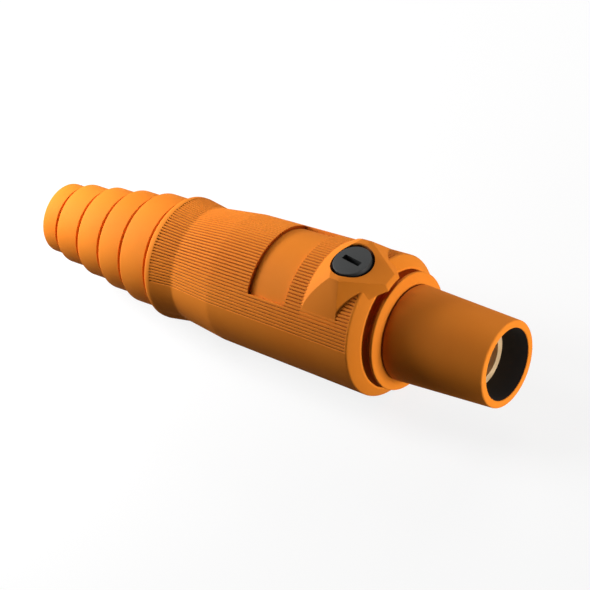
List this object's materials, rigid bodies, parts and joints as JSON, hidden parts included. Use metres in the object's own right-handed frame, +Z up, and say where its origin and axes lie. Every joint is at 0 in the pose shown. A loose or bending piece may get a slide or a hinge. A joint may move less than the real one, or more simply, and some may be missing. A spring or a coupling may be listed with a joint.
{
  "type": "single pole cam lock connector",
  "caption": "Female in-line power connector: an orange rubber sleeve with a ribbed grip and stepped cable boot, held on a brass socket contact by a slotted screw.",
  "frame": {"origin": "centre of the brass contact's front face, where the mating socket opens", "axes": "+X along the connector's axis, out of the nose towards the mating connector; +Z up through the retaining screw; -X towards the cable"},
  "size_m": [0.1883, 0.0476, 0.0506],
  "materials": {
    "sleeve": "satin moulded",
    "contact": "turned",
    "hardware": "machined",
    "retainer": "moulded"
  },
  "bodies": {
    "root": {"insulating_sleeve": "sleeve", "socket_contact": "contact", "cam_pin": "hardware", "set_screws": "hardware", "retaining_screw": "retainer"}
  },
  "joints": []
}
